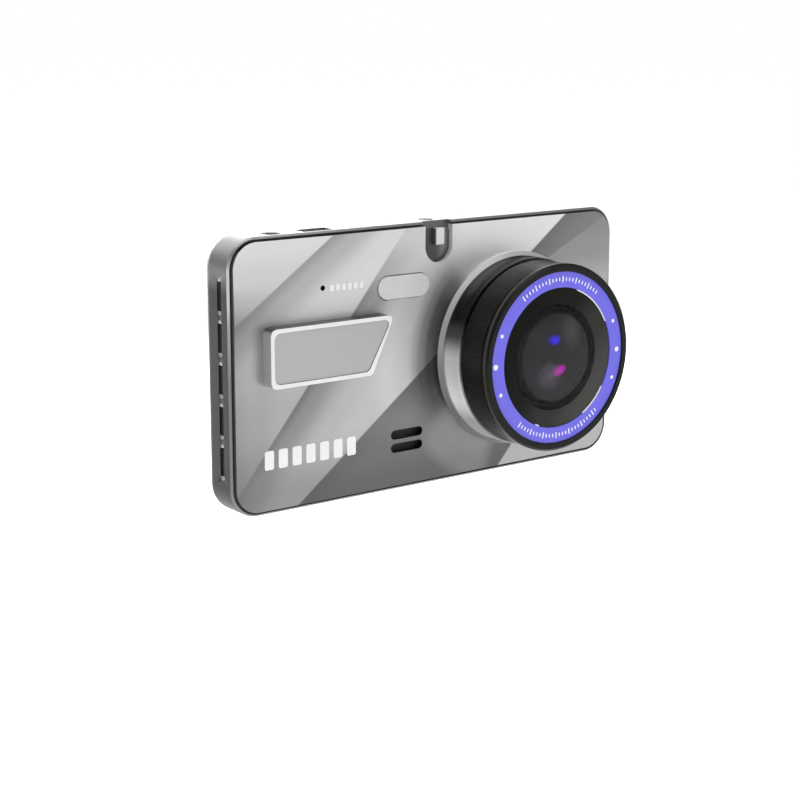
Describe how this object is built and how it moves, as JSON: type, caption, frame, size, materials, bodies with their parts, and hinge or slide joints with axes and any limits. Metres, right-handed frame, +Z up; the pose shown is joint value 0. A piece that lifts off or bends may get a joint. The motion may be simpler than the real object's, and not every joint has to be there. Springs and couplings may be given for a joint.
{
  "type": "dash camera",
  "caption": "Windscreen dash camera: flat metal-faced body with a big round wide-angle lens, side keys, sockets on top, a display on the back and a bracket bore.",
  "frame": {"origin": "centre of the mouth of the bracket bore, on the top face", "axes": "+X to the right as seen from the lens side, along the body; +Y from the lens to the display; +Z up, out of the bracket bore"},
  "size_m": [0.113, 0.028, 0.0625],
  "materials": {
    "silver_paint": "satin",
    "grey_paint": "satin",
    "black_rubber": "matte",
    "display_glass": "polished",
    "dark_film": "gloss",
    "white_plastic": "matte",
    "steel": "satin",
    "bright_trim": "gloss",
    "silver_badge": "matte",
    "frosted_window": "frosted",
    "led_yellow": "gloss",
    "black_barrel": "satin",
    "black_bezel": "gloss",
    "violet_ring": "satin",
    "black_baffle": "matte",
    "lens_glass": "coated",
    "filter_glass": "polished",
    "black_plastic": "matte",
    "sensor_glass": "polished",
    "board_green": "gloss",
    "flex_amber": "gloss",
    "chip_black": "matte",
    "aluminium_can": "satin",
    "cone_paper": "matte",
    "battery_foil": "satin",
    "grey_metal": "satin",
    "grey_key": "satin"
  },
  "bodies": {
    "case": {"front_cover": "silver_paint", "seam_gasket": "black_rubber", "rear_housing": "grey_paint", "back_glass": "display_glass", "lcd_panel": "dark_film", "backlight": "white_plastic", "display_tray": "steel", "badge_rim": "bright_trim", "badge_plate": "silver_badge", "fill_light_window": "frosted_window", "fill_light_leds": "led_yellow", "lens_collar": "silver_paint", "lens_barrel": "black_barrel", "lens_bezel": "black_bezel", "accent_ring": "violet_ring", "lens_baffle": "black_baffle", "front_element": "lens_glass", "lens_cell": "black_barrel", "second_element": "lens_glass", "third_element": "lens_glass", "rear_element": "lens_glass", "ir_filter": "filter_glass", "lens_holder": "black_plastic", "image_sensor": "sensor_glass", "sensor_board": "board_green", "sensor_screws": "steel", "collar_screws": "steel", "sensor_flex": "flex_amber", "main_board": "board_green", "board_screws": "steel", "processor": "chip_black", "memory_chips": "chip_black", "shield_can": "steel", "display_flex": "flex_amber", "card_socket": "steel", "usb_socket": "steel", "usb_tongue": "black_plastic", "av_jack": "black_plastic", "microphone": "aluminium_can", "speaker_frame": "black_plastic", "speaker_cone": "cone_paper", "speaker_gasket": "black_rubber", "battery": "battery_foil", "battery_pad": "white_plastic", "bracket_socket": "grey_metal", "key_switches": "black_plastic", "reset_switch": "black_plastic"},
    "power_button": {"power_key": "grey_key", "power_stem": "white_plastic"},
    "menu_button": {"menu_key": "grey_key", "menu_stem": "white_plastic"},
    "up_button": {"up_key": "grey_key", "up_stem": "white_plastic"},
    "ok_button": {"ok_key": "grey_key", "ok_stem": "white_plastic"},
    "down_button": {"down_key": "grey_key", "down_stem": "white_plastic"},
    "reset_button": {"reset_stem": "white_plastic"}
  },
  "joints": [
    {"name": "power_press", "type": "slide", "parent": "case", "child": "power_button", "axis": [1, 0, 0], "range_m": [0, 0.0003], "stiffness_N_per_m": 1500, "springref_m": -0.0003},
    {"name": "menu_press", "type": "slide", "parent": "case", "child": "menu_button", "axis": [1, 0, 0], "range_m": [0, 0.0003], "stiffness_N_per_m": 1500, "springref_m": -0.0003},
    {"name": "up_press", "type": "slide", "parent": "case", "child": "up_button", "axis": [1, 0, 0], "range_m": [0, 0.0003], "stiffness_N_per_m": 1500, "springref_m": -0.0003},
    {"name": "ok_press", "type": "slide", "parent": "case", "child": "ok_button", "axis": [1, 0, 0], "range_m": [0, 0.0003], "stiffness_N_per_m": 1500, "springref_m": -0.0003},
    {"name": "down_press", "type": "slide", "parent": "case", "child": "down_button", "axis": [1, 0, 0], "range_m": [0, 0.0003], "stiffness_N_per_m": 1500, "springref_m": -0.0003},
    {"name": "reset_press", "type": "slide", "parent": "case", "child": "reset_button", "axis": [0, 1, 0], "range_m": [0, 0.00025], "stiffness_N_per_m": 1500, "springref_m": -0.0003}
  ]
}
